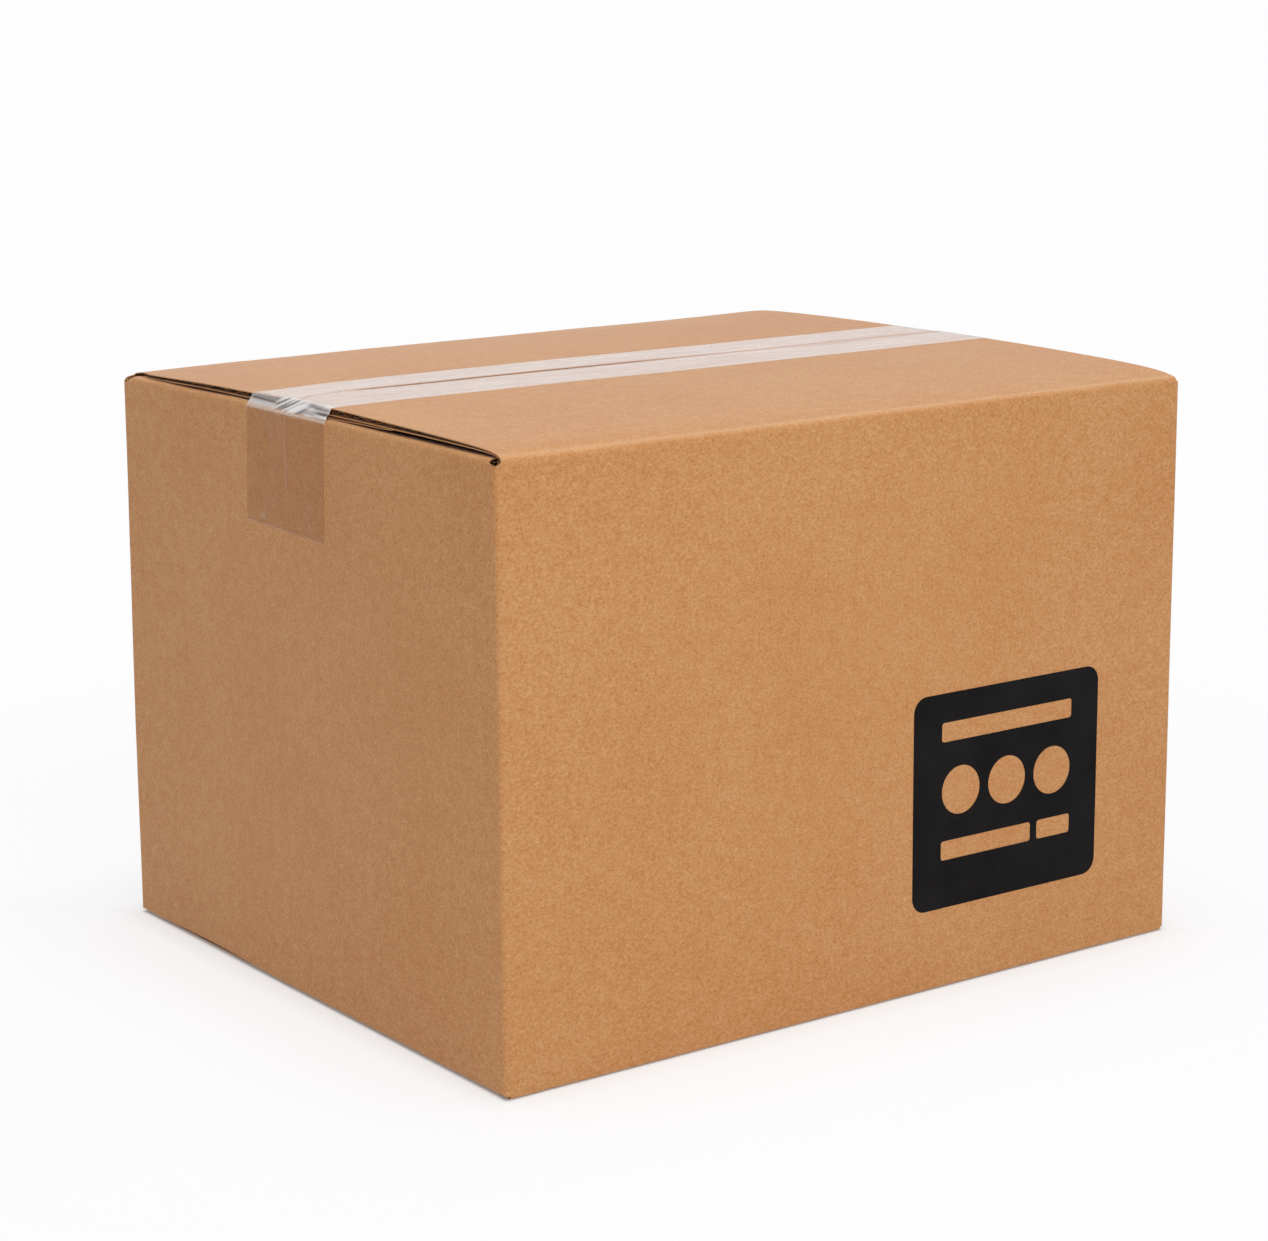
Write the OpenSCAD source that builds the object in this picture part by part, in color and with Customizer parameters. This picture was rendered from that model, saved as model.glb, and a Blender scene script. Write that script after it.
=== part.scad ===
// Regular slotted carton of single-wall corrugated board, closed and taped along its top seam.
// The long walls face -Y and +Y, the short walls face -X and +X, and the carton stands on Z = 0.
// The flutes lie flat and run round the box, so the ends of the outer flaps show them cut across.

/* [Carton] */
// Length over the short walls
carton_length = 280; // [250:5:400]
// Width over the long walls
carton_width = 240; // [180:5:270]
// Height up to the folds of the outer top flaps
carton_height = 198; // [120:2:300]

/* [Board] */
// Thickness of the board
board_t = 2.8; // [2.2:0.1:3.4]
// Thickness of each liner
liner_t = 0.3; // [0.2:0.05:0.5]
// Thickness of the fluted paper between the liners
medium_t = 0.25; // [0.15:0.05:0.4]
// Distance from one flute to the next
flute_pitch = 6.4; // [5:0.1:8]
// Width of a crest where it is glued to a liner
crest_w = 1; // [0.8:0.1:1.4]

/* [Folds] */
// Outer radius of a flap's fold, beyond the thickness of the board
fold_slack = 0.8; // [0.4:0.1:1.4]
// Thickness to which the board is crushed along a fold
crushed_t = 0.7; // [0.5:0.05:0.9]
// Outer radius of the upright corners
corner_r = 2.6; // [2:0.1:3.4]
// Play between an outer flap and the inner flap under it
layer_gap = 0.3; // [0.2:0.05:0.5]
// Depth of the slots between the flaps, from the fold of an outer flap
slot_depth = 5; // [4.4:0.1:6]
// Play between the side of an inner flap and the fold beside it
side_play = 0.6; // [0.4:0.1:2]

/* [Top] */
// Rise of the outer top flaps from their folds to the seam
seam_rise = 3.6; // [0:0.2:4]
// Gap between the two outer flaps along the seam
seam_gap = 1; // [0.6:0.1:3]

/* [Glued joint] */
// Width of the glue tab inside the back wall
tab_w = 32; // [25:1:45]
// Height by which each end of the tab tapers towards its free edge
tab_taper = 8; // [4:1:16]
// Distance of the back wall's cut edge from the right wall's face
cut_edge_inset = 1; // [0.5:0.1:2]
// Thickness of the adhesive film in the joint
joint_glue_t = 0.2; // [0.1:0.05:0.3]
// Margin left dry round the adhesive film
joint_glue_margin = 4; // [2:1:8]

/* [Bottom glue] */
// Width of a strip of hot-melt
strip_w = 6; // [3:1:12]
// Length of a strip of hot-melt
strip_l = 80; // [40:5:90]
// Distance of the inner strips from the seam
strip_from_seam = 28; // [15:1:40]
// Distance of the outer strips from the seam
strip_from_middle = 82; // [60:1:95]
// Distance of the strips from the face of the short wall
strip_from_wall = 22; // [12:1:28]

/* [Tape] */
// Width of the tape
tape_w = 50; // [36:1:75]
// Thickness of the tape, film and adhesive
tape_t = 0.08; // [0.05:0.01:0.15]
// Length of each tail, down from the fold of the inner flap
tape_tail = 37; // [20:1:70]
// How far the tape leaves the short wall above the place from which it would graze the fold
tape_clear = 0.1; // [0.1:0.1:1]

/* [Hidden] */
$fn = 48;

// Half sizes, to the outer faces of the walls
half_l = carton_length / 2;
half_w = carton_width / 2;

// Fold of a flap: outer radius, and the small roll that the inner liner makes inside it
fold_r = board_t + fold_slack;
roll_lap = 0.15;
roll_offset = 0.1;
roll_c = board_t + roll_offset;
roll_r = fold_r - crushed_t - (fold_r - roll_c) * sqrt(2) + roll_lap;
roll_wall = 2 * liner_t;

// The inner flaps fold one board thickness lower than the outer ones
inner_drop = board_t + layer_gap;
// Side of an inner flap, from the outer face of the long wall, clear of the roll in that wall's fold
inner_side = roll_c + roll_r + side_play;
// Length left solid at each end of a fluted strip, beside the roll and along the free edge
roll_rim = roll_c + roll_r - fold_r + liner_t;
edge_rim = 2 * liner_t;

// Slope of the outer top flaps
seam_slope = atan(seam_rise / (half_w - fold_r));
// Length of an outer flap from its fold to the seam, level and sloping
flap_l = half_w - seam_gap / 2 - fold_r;
top_flap_l = (flap_l + fold_r * sin(seam_slope)) / cos(seam_slope);
// An inner flap is as long as an outer one
inner_flap_l = flap_l;

// Faces of the glued joint: outer face of the tab, and its ends
tab_face = half_w - board_t - joint_glue_t;
tab_bottom = inner_drop + roll_c + roll_r + side_play;
bend_bead_r = board_t / 2;
lap = 1;

// Cell between two webs of the flutes: half its width at the liner that it opens to and at its
// narrow end, and its lowest and highest levels
cell_wide = (flute_pitch - crest_w) / 2;
cell_narrow = 0.3;
cell_low = liner_t + medium_t;
cell_high = board_t - liner_t;

// Four corners of one cell, centred at x. A cell that opens upwards is wide along the upper liner.
function cell(x, opens_up) =
    opens_up
    ? [[x - cell_wide, cell_high], [x - cell_narrow, cell_low],
       [x + cell_narrow, cell_low], [x + cell_wide, cell_high]]
    : [[x - cell_wide, liner_t], [x - cell_narrow, board_t - cell_low],
       [x + cell_narrow, board_t - cell_low], [x + cell_wide, liner_t]];

// Section of a length of board, from x = 0 and from y = 0 up, with its flutes cut across
module fluted_section(length, rim_start, rim_end) {
    half_pitch = flute_pitch / 2;
    cells = floor((length - rim_start - rim_end - 2 * cell_wide) / half_pitch) + 1;
    spare = length - rim_start - rim_end - 2 * cell_wide - (cells - 1) * half_pitch;
    first = rim_start + spare / 2 + cell_wide;
    corners = [for (i = [0:cells - 1]) each cell(first + i * half_pitch, i % 2 == 0)];
    outline = [[0, 0], [length, 0], [length, board_t], [0, board_t]];
    polygon(
        points = concat(outline, corners),
        paths = concat([[0, 1, 2, 3]], [for (i = [1:cells]) [4 * i, 4 * i + 1, 4 * i + 2, 4 * i + 3]])
    );
}

// Section of a fold between a wall that rises from y = fold_r and a flap that starts at x = fold_r.
// The outer liner goes round in one band, and the inner liner buckles into a hollow roll.
module fold_section() {
    intersection() {
        square(fold_r);
        difference() {
            translate([fold_r, fold_r]) circle(fold_r);
            translate([fold_r, fold_r]) circle(fold_r - crushed_t);
        }
    }
    translate([roll_c, roll_c])
        difference() {
            circle(roll_r);
            circle(roll_r - roll_wall);
        }
}

// Section of a fold with its flap, for a bottom flap: x runs inwards from the wall's face and y runs up.
// The foot of the wall goes up to wall_top, and slope tips the flap outwards.
module flap_section(length, slope, wall_top) {
    fold_section();
    translate([0, fold_r]) square([board_t, wall_top - fold_r]);
    translate([fold_r, fold_r])
        rotate(-slope)
            translate([0, -fold_r])
                fluted_section(length, roll_rim, edge_rim);
}

// Lays a section along X, with the section's x along Y and its y up
module along_x(length) {
    rotate([90, 0, 90]) linear_extrude(height = length, center = true) children();
}

// Lays a section along Y, with the section's x along X and its y up
module along_y(length) {
    rotate([90, 0, 0]) linear_extrude(height = length, center = true) children();
}

// Flips a bottom half over to the top
module as_top() {
    translate([0, 0, carton_height]) mirror([0, 0, 1]) children();
}

// Outer flap and its fold along the front wall, between the slots
module outer_flap(length, slope) {
    translate([0, -half_w, 0])
        along_x(carton_length - 2 * corner_r)
            flap_section(length, slope, slot_depth);
}

// Inner flap and its fold along the left wall, one board thickness further in
module inner_flap() {
    translate([-half_l, 0, inner_drop])
        along_y(carton_width - 2 * inner_side)
            flap_section(inner_flap_l, 0, fold_r + lap);
}

// Left wall, between its corners
module short_wall() {
    wall_foot = inner_drop + fold_r;
    translate([-half_l, -half_w + inner_side, wall_foot])
        cube([board_t, carton_width - 2 * inner_side, carton_height - 2 * wall_foot]);
}

// Front wall, between its corners
module front_wall() {
    translate([-half_l + corner_r, -half_w, slot_depth])
        cube([carton_length - 2 * corner_r, board_t, carton_height - 2 * slot_depth]);
}

// Back wall, whose cut edge stands open at the glued joint, with the flutes ending in it
module back_wall() {
    start = -half_l + corner_r;
    end = half_l - cut_edge_inset;
    translate([(start + end) / 2, half_w, slot_depth])
        along_x(end - start)
            mirror([1, 0])
                translate([board_t, 0])
                    rotate(90)
                        fluted_section(carton_height - 2 * slot_depth, edge_rim, edge_rim);
}

// Section of an upright corner, from above: rounded outside, with a solid bead inside.
// One leg reaches along the long wall up to its flaps, and the other along the short wall.
module corner_section(short_leg) {
    intersection() {
        square(corner_r);
        translate([corner_r, corner_r]) circle(corner_r);
    }
    translate([0, corner_r]) square([board_t, short_leg - corner_r]);
    translate([corner_r, 0]) square([lap, board_t]);
    translate([board_t, board_t]) circle(bend_bead_r);
}

// Upright corner between the front wall and the left wall
module corner() {
    translate([-half_l, -half_w, slot_depth])
        linear_extrude(height = carton_height - 2 * slot_depth)
            corner_section(inner_side + lap);
}

// Fold of the right wall into the glue tab, and the tab along the inside of the back wall
module glue_tab() {
    tab_start = half_l - corner_r;
    tab_height = carton_height - 2 * tab_bottom;
    translate([half_l, tab_face, slot_depth])
        rotate(180)
            linear_extrude(height = carton_height - 2 * slot_depth)
                corner_section(inner_side - board_t - joint_glue_t + corner_r + lap);
    translate([tab_start, tab_face, tab_bottom])
        rotate([90, 0, 0])
            linear_extrude(height = board_t)
                polygon([
                    [0, 0], [0, tab_height],
                    [-tab_w + corner_r, tab_height - tab_taper], [-tab_w + corner_r, tab_taper]
                ]);
}

// The whole folded sheet
module carton() {
    color("#c08c5e") {
        for (side = [0, 1]) {
            mirror([0, side, 0]) {
                outer_flap(flap_l, 0);
                as_top() outer_flap(top_flap_l, seam_slope);
            }
            mirror([side, 0, 0]) {
                short_wall();
                inner_flap();
                as_top() inner_flap();
            }
        }
        front_wall();
        back_wall();
        corner();
        mirror([1, 0, 0]) corner();
        mirror([0, 1, 0]) corner();
        glue_tab();
    }
}

// Adhesive film that fills the joint between the tab and the back wall
module joint_glue() {
    film_w = tab_w - corner_r - 2 * joint_glue_margin;
    film_bottom = tab_bottom + tab_taper + joint_glue_margin;
    color("#e8dfc8")
        translate([half_l - tab_w + joint_glue_margin, tab_face, film_bottom])
            cube([film_w, joint_glue_t, carton_height - 2 * film_bottom]);
}

// Strips of hot-melt between the inner and outer bottom flaps, two on each quarter
module bottom_glue() {
    color("#efe6cf")
        for (end = [0, 1], side = [0, 1], place = [strip_from_seam, strip_from_middle])
            mirror([end, 0, 0])
                mirror([0, side, 0])
                    translate([-half_l + strip_from_wall, place - strip_w / 2, board_t])
                        cube([strip_l, strip_w, layer_gap]);
}

// Height of the outer top flaps' upper face at a distance y from the seam
function flap_top(y) =
    carton_height - fold_r + fold_r / cos(seam_slope) + (half_w - abs(y) - fold_r) * tan(seam_slope);

// Where the tape leaves the short wall on its straight way up to the flap's end, at a distance y
// from the seam. It passes the rolled fold with hardly any room.
function leave_height(y) =
    let (
        fold_c = carton_height - inner_drop - fold_r,
        across = corner_r - fold_r,
        up = flap_top(y) - fold_c,
        touch = atan2(up, across) + acos(fold_r / norm([across, up]))
    )
    fold_c + fold_r * tan((180 - touch) / 2) + tape_clear;

// Path of the tape over the left half, from the end of the tail to the middle, raised by lift
function tape_path(y, lift) =
    let (
        top = flap_top(y) + lift / cos(seam_slope),
        leave = leave_height(y),
        lean = atan2(corner_r, flap_top(y) - leave),
        wall_x = -half_l - lift,
        tail_z = carton_height - inner_drop - tape_tail
    )
    [
        [wall_x, y, tail_z],
        [wall_x, y, leave + lift * tan(lean / 2)],
        [-half_l + corner_r - lift * tan((90 - lean) / 2), y, top],
        [0, y, top]
    ];

// Corners of the tape on one of its lengthwise lines, from the left tail to the right one
function tape_line(y, lift) =
    let (half = tape_path(y, lift))
    concat(half, [for (i = [len(half) - 2:-1:0]) [-half[i][0], half[i][1], half[i][2]]]);

// One strip of clear tape over the seam and down both short walls
module top_tape() {
    lines = [-tape_w / 2, 0, tape_w / 2];
    under = [for (y = lines) each tape_line(y, 0)];
    over = [for (y = lines) each tape_line(y, tape_t)];
    n = len(under) / len(lines);
    m = len(under);
    last = (len(lines) - 1) * n;
    quads = concat(
        [for (j = [0:len(lines) - 2], i = [0:n - 2])
            [j * n + i, j * n + i + 1, (j + 1) * n + i + 1, (j + 1) * n + i]],
        [for (j = [0:len(lines) - 2], i = [0:n - 2])
            [m + j * n + i, m + (j + 1) * n + i, m + (j + 1) * n + i + 1, m + j * n + i + 1]],
        [for (i = [0:n - 2]) [i, m + i, m + i + 1, i + 1]],
        [for (i = [0:n - 2]) [last + i, last + i + 1, m + last + i + 1, m + last + i]],
        [for (j = [0:len(lines) - 2]) [j * n, (j + 1) * n, m + (j + 1) * n, m + j * n]],
        [for (j = [0:len(lines) - 2])
            [j * n + n - 1, m + j * n + n - 1, m + (j + 1) * n + n - 1, (j + 1) * n + n - 1]]
    );
    triangles = [for (q = quads) each [[q[0], q[1], q[2]], [q[0], q[2], q[3]]]];
    color("#e4dcd6")
        polyhedron(points = concat(under, over), faces = triangles);
}

carton();
joint_glue();
bottom_glue();
top_tape();
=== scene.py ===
"""Closed corrugated carton with a taped top seam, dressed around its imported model."""

import math

import bmesh
import bpy
from mathutils import Matrix, Vector, noise


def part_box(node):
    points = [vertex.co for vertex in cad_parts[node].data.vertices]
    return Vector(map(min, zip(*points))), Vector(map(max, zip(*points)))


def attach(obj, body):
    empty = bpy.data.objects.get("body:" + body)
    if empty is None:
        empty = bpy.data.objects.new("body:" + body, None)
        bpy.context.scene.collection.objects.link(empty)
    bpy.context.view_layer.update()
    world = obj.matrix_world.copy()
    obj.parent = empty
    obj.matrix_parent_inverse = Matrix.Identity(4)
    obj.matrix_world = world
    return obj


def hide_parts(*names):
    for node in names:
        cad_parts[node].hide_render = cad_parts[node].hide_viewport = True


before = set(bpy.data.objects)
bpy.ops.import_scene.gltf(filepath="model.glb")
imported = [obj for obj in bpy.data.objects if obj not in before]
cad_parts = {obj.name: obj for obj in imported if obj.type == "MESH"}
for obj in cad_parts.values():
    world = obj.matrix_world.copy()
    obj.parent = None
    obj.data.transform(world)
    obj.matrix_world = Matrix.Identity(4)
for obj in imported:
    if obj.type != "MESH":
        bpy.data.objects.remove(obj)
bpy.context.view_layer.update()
mm = 0.001

# Folded sheet
# One die-cut blank of brown single-wall board: two paper liners with a fluted medium glued between
# them. It is scored and folded to four walls, eight flaps and a glue tab inside the back wall.
carton_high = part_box("carton")[1]
half_l = carton_high.x
half_w = carton_high.y
fold_top = 198 * mm
board_t = 2.8 * mm
liner_t = 0.32 * mm
medium_t = 0.24 * mm
crushed_t = 0.7 * mm
flute_pitch = 6.4 * mm
flute_step = flute_pitch / 8
corner_r = 2.1 * mm
top_fold_r = 2.3 * mm
foot_fold_r = 1.5 * mm
fold_crush = 1.05 * mm
fold_zone = 9 * mm  # how far below its fold a wall still follows it
top_slot = 1.7 * mm
foot_slot = 1.4 * mm
slot_dip = 1.1 * mm  # how far a wall sinks between two flaps
slot_reach = 8 * mm  # how far the board is crushed or sunk beside a slot
slotted_t = 1.0 * mm
inner_side = 4.5 * mm  # side of an inner flap, from the face of the long wall
flap_level = 3.1 * mm  # depth at which an inner flap lies level
flap_edge = 117 * mm
seam_gap = 0.7 * mm
seam_y = 3.2 * mm
seam_rise = 3.45 * mm
tab_face = half_w - board_t - 0.2 * mm
tab_w = 32 * mm
cut_edge_inset = 1.0 * mm
roll_out = 0.9 * mm  # how far the inner liner bulges in a fold
rack_lean = 2.5 * mm
near_curl = 0.85 * mm  # how far the near end of the front flap curls up
curl_reach = 7 * mm
crest_highlight_past = 0.8 * mm  # where a fold gets its painted highlight and rubbed pale specks, past the edge of the carton
crest_highlight_reach = 2.2 * mm

# The blank is measured by s, the distance round the walls from the cut edge at the glued joint, and
# by v, which is the height on a wall and runs on over the folds into the flaps.
turning_points = [
    Vector((half_l - cut_edge_inset, half_w)),
    Vector((-half_l, half_w)),
    Vector((-half_l, -half_w)),
    Vector((half_l, -half_w)),
    Vector((half_l, tab_face)),
    Vector((half_l - tab_w, tab_face)),
]
BACK, LEFT, FRONT, RIGHT, TAB = range(5)


class Panel:
    """One straight run of the blank, between two upright corners."""

    def __init__(self, number, start_s):
        first, last = turning_points[number], turning_points[number + 1]
        self.heading = (last - first).normalized()
        self.inward = Vector((-self.heading.y, self.heading.x))
        self.origin = first + self.heading * (0 if number == BACK else corner_r)
        trim = 0 if number == TAB else corner_r
        self.length = (last - self.origin).length - trim
        self.start = start_s
        self.end = start_s + self.length
        self.number = number
        self.is_inner = number in (LEFT, RIGHT)
        self.side = inner_side - corner_r if self.is_inner else 0.0

    def s_at(self, x, y):
        """The s of a place on this panel's wall."""
        return self.start + (Vector((x, y)) - self.origin).dot(self.heading)


panels = []
for number in range(5):
    start_s = panels[-1].end + corner_r * math.pi / 2 if panels else 0.0
    panels.append(Panel(number, start_s))


def panel_at(s):
    """The panel that s is on, or that the rolled corner at s comes after."""
    return next((p for p, q in zip(panels, panels[1:]) if s < q.start - 1e-7), panels[TAB])


def wave(x, y, seed):
    """Smooth unevenness between -1 and 1, the same each run. Each seed gives another pattern."""
    return noise.noise(Vector((x, y, seed)))


def ease(x):
    """A soft step from 0 to 1 while x goes from 0 to 1."""
    x = min(max(x, 0.0), 1.0)
    return x * x * (3 - 2 * x)


def bell(x, width, power=2):
    """1 where x is 0, falling to nearly 0 beyond width on both sides."""
    return math.exp(-(x / width) ** power)


def sink(panel, s, v):
    """How far the sheet lies inside its ideal faces: a slight bow of each wall, and unevenness."""
    along = (s - panel.start) / panel.length * 2 - 1
    up = min(max(v / fold_top, 0.0), 1.0) * 2 - 1
    bow = max(0.0, 1 - along * along) * max(0.0, 1 - up * up)
    broad = 1 + wave(s / (60 * mm), v / (60 * mm), 0.7)
    close = 1 + wave(s / (17 * mm), v / (17 * mm), 5.3)
    return (0.10 + 0.30 * bow + 0.16 * broad + 0.05 * close) * mm


def racked(place):
    """The carton is a little out of true: its far left corner leans in towards the top."""
    share = ease(-place.x / (110 * mm)) * ease((place.y - 20 * mm) / (90 * mm))
    lean = rack_lean * share * ease((place.z - 50 * mm) / (150 * mm))
    return Vector((place.x, place.y - lean, place.z))


def seam_line(x):
    """How far the seam lies behind the middle of the carton."""
    return seam_y + (0.35 * wave(x / (24 * mm), 0.2, 4.0) + 0.5 * (x / half_l) ** 2) * mm


def inner_drop(panel, place, from_start, at_top):
    """How far the fold of an inner flap lies below the top of the walls, or above their foot."""
    if not at_top:
        lifted = bell(place.y / mm - 66, 26) if panel.number == LEFT else 0.0
        return (0.6 + 0.7 * lifted) * mm
    near, far = ease((-place.y / mm - 25) / 40), ease((place.y / mm - 35) / 40)
    drop = (0.25 + 0.30 * near + 0.60 * far) * mm
    drop += 0.5 * mm * (1 - ease(from_start / (25 * mm)))
    drop += 1.3 * mm * (1 - ease(from_start / (5 * mm)))
    return drop


class Fold:
    """The fold between a wall and its flap at one s, and the flap beyond it.

    The flap climbs by slope. From about reach on, swell lifts it as well, most beside the fold, and
    arch, most at its free edge.
    """

    def __init__(self, panel, s, at_top):
        from_start = s - panel.start
        place = panel.origin + panel.heading * from_start
        rightward = (place.x + half_l) / (2 * half_l)
        is_front = panel.number == FRONT
        rough = wave(s / (9 * mm), panel.number, 3.1 + at_top)
        broad = wave(s / (45 * mm), panel.number, 6.4 + at_top)
        curl = near_curl * (1 - ease(from_start / curl_reach)) if at_top and is_front else 0.0
        if panel.is_inner:
            drop = inner_drop(panel, place, from_start, at_top)
        else:
            drop = (0.1 + 0.12 * (1 + broad)) * mm - curl if at_top else 0.0
            if at_top and panel.number == BACK:
                drop += 0.60 * mm * ease(1 - 6 * rightward)
        self.at_top = at_top
        self.end = min(from_start, panel.end - s)
        self.radius = (top_fold_r if at_top else foot_fold_r) * (1 + 0.12 * rough)
        self.settle = flap_level - drop if panel.is_inner else 0.0
        self.start = fold_top - drop - self.radius if at_top else drop + self.radius
        self.slope, self.swell, self.reach, self.arch = 0.0, 0.0, 5 * mm, 0.0
        target = half_w - 0.5 * mm
        if at_top and not panel.is_inner:
            left_swell = 1.95 if is_front else 0.85
            self.swell = (left_swell + (1.8 - left_swell) * ease(1.4 * rightward)) * mm - curl
            slack = ease(1.4 * rightward) * (1 - 0.75 * ease((rightward - 0.8) / 0.2))
            self.reach = (4.5 + 13.5 * slack) * mm
            self.arch = (0.25 if is_front else 0.55) * mm * ease(9 * rightward)
            self.arch *= 1 - ease((rightward - 0.3) / 0.5)
            level = seam_rise + (0.1 * (1 - rightward) ** 2 - 0.2) * mm
            self.slope = (level + drop) / (half_w - self.radius)
            shoulder = math.atan(self.slope + self.swell / self.reach)
            self.slope += self.radius * (1 - math.cos(shoulder)) / half_w
            target = half_w - seam_gap / 2 + seam_line(place.x) * (1 if is_front else -1)
        self.full = math.pi / 2 - math.atan(self.slope + self.swell / self.reach)
        self.bend = self.radius * self.full
        limit = fold_top + flap_edge - self.start if at_top else self.start + flap_edge
        self.run_end = target - self.radius * (1 - math.cos(self.full))
        self.stretch = self.run_end / (limit - self.bend)
        self.crushed, self.opening = (0.95, 0.017) if is_front else (1.3, 0.009)
        if not at_top:
            self.crushed = 0.8

    def thickness(self, past):
        """Thickness of the board: crushed in the fold and at the slotted ends of the flap."""
        from_fold = abs(past - self.bend / 2) / (self.bend / 2 + 3 * mm)
        thick = board_t - fold_crush * ease(1 - from_fold)
        run = max(past - self.bend, 0.0)
        beyond = ease(past / self.bend)
        slotted = (1.0 + (self.crushed - 1.0) * beyond) * mm + self.opening * run
        near_end = (1 - ease(self.end / (4 * mm + 8 * mm * beyond))) * (1 - ease(-past / (8 * mm)))
        return thick + (min(slotted, thick, 2.6 * mm) - thick) * near_end


def squeezed(depth, thick):
    """Depth in a crushed board: its liners stay whole and the space between them closes."""
    if depth <= liner_t:
        return depth
    if depth >= board_t - liner_t:
        return thick - board_t + depth
    return liner_t + (depth - liner_t) * (thick - 2 * liner_t) / (board_t - 2 * liner_t)


def sheet_point(s, v, depth, roll=0.0):
    """Where a point of the blank is once the carton is folded, depth below its outer face."""
    panel = panel_at(s)
    lies = sink(panel, s, v)
    if s > panel.end + 1e-7 and panel.number != TAB:
        turn = (s - panel.end) / corner_r
        outward = panel.heading * math.sin(turn) - panel.inward * math.cos(turn)
        centre = panel.origin + panel.heading * panel.length + panel.inward * corner_r
        from_slot = min(fold_top - top_slot - v, v - foot_slot)
        thick = slotted_t + (board_t - slotted_t) * ease(from_slot / slot_reach)
        depth = squeezed(depth, thick)
        place = centre + outward * (corner_r - depth - lies)
        return racked(Vector((place.x, place.y, v)))
    place = panel.origin + panel.heading * (s - panel.start)
    fold = Fold(panel, s, v > fold_top / 2)
    past = v - fold.start if fold.at_top else fold.start - v
    if past <= -fold_zone or panel.number == TAB:
        place += panel.inward * (depth + lies)
        return racked(Vector((place.x, place.y, v)))
    depth = squeezed(depth, fold.thickness(past))
    lean = min(max(past / fold.radius, 0.0), fold.full)
    run = max(past - fold.bend, 0.0) * fold.stretch
    share = min(run / fold.run_end, 1.0)
    inward = fold.radius * (1 - math.cos(lean)) + run
    rise = fold.radius * math.sin(lean) + run * fold.slope + min(past, 0.0)
    levelled = 1 - math.exp(-run / fold.reach)
    rise += (fold.swell * (1 - share ** 2) + fold.arch * share) * levelled
    rise -= fold.settle * ease(run / ((13 if fold.at_top else 6) * mm))
    lean += (math.pi / 2 - math.atan(fold.slope) - fold.full) * levelled
    inward += depth * math.cos(lean)
    rise -= depth * math.sin(lean)
    roll *= 1 + 0.9 * (1 - ease(fold.end / (5 * mm)))
    bump = math.sin(math.pi * min(max(past / fold.bend, 0.0), 1.0)) * roll * math.sqrt(0.5)
    inward += bump + lies * math.cos(lean)
    rise -= bump + lies * math.sin(lean)
    place += panel.inward * inward
    height = fold.start + rise if fold.at_top else fold.start - rise
    return racked(Vector((place.x, place.y, height)))


def steps(start, end, size):
    """Even divisions from start to end, each at most size long."""
    count = max(1, math.ceil((end - start) / size - 1e-6))
    return [start + (end - start) * i / count for i in range(count + 1)]


def fine_to_coarse(start, end, size):
    """Divisions that are close together at both ends and size apart between them."""
    margin = min(12 * mm, (end - start) / 3)
    ends = steps(start, start + margin / 3, 1 * mm)
    ends += steps(start + margin / 3, start + margin, 2 * mm)[1:]
    middle = steps(start + margin, end - margin, size)
    return ends + middle[1:-1] + [start + end - place for place in reversed(ends)]


def flap_columns(panel, size):
    """Divisions of a flap along its fold."""
    start = panel.start + panel.side
    if panel.number == BACK:
        start = corner_r - cut_edge_inset
    return fine_to_coarse(start, panel.end - panel.side, size)


def flap_cells(at_top, columns, rows):
    """Quads of a flap, from rows that give distances past the edge of the carton."""
    cells = []
    for low, high in zip(rows, rows[1:]):
        pair = (fold_top + low, fold_top + high) if at_top else (-high, -low)
        cells += [(a, b, *pair) for a, b in zip(columns, columns[1:])]
    return cells


def flute_strips(panel):
    """Divisions of the two ends of a flap, where its flutes can be seen."""
    from_end = (0, 1.5, 4, 8, 14)
    run = flap_columns(panel, 60 * mm)
    return [run[0] + k * mm for k in from_end], [run[-1] - k * mm for k in reversed(from_end)]


def blank_cells(size, fine):
    """Quads of the whole blank: the band of the walls, and each flap between its slots.

    They are fine over the folds, and size apart elsewhere.
    """
    fold_end, flat_start, rim = 7 * mm, 15 * mm, 3 * mm
    cells = []
    columns = []
    for panel in panels[:TAB]:
        run = flap_columns(panel, size)
        first = steps(panel.start, run[0], 1 * mm)[:-1] if run[0] > panel.start + 1e-6 else []
        last = steps(run[-1], panel.end, 1 * mm)[1:] if run[-1] < panel.end - 1e-6 else []
        columns += first + run + last
        columns += steps(panel.end, panel.end + corner_r * math.pi / 2, 0.9 * mm)[1:-1]
        for at_top in (False, True):
            slot = top_slot if at_top else foot_slot
            rows = steps(-slot, fold_end, fine if at_top else 1.5 * fine)
            rows += steps(fold_end, flat_start, 2 * mm)[1:]
            rows += steps(flat_start, flap_edge - rim, size)[1:]
            rows += steps(flap_edge - rim, flap_edge, 1 * mm)[1:]
            cells += flap_cells(at_top, run, rows)
    columns.append(panels[TAB].start)
    band_rows = fine_to_coarse(foot_slot, fold_top - top_slot, size)
    for low, high in zip(band_rows, band_rows[1:]):
        cells += [(a, b, low, high) for a, b in zip(columns, columns[1:])]
    return cells


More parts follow.
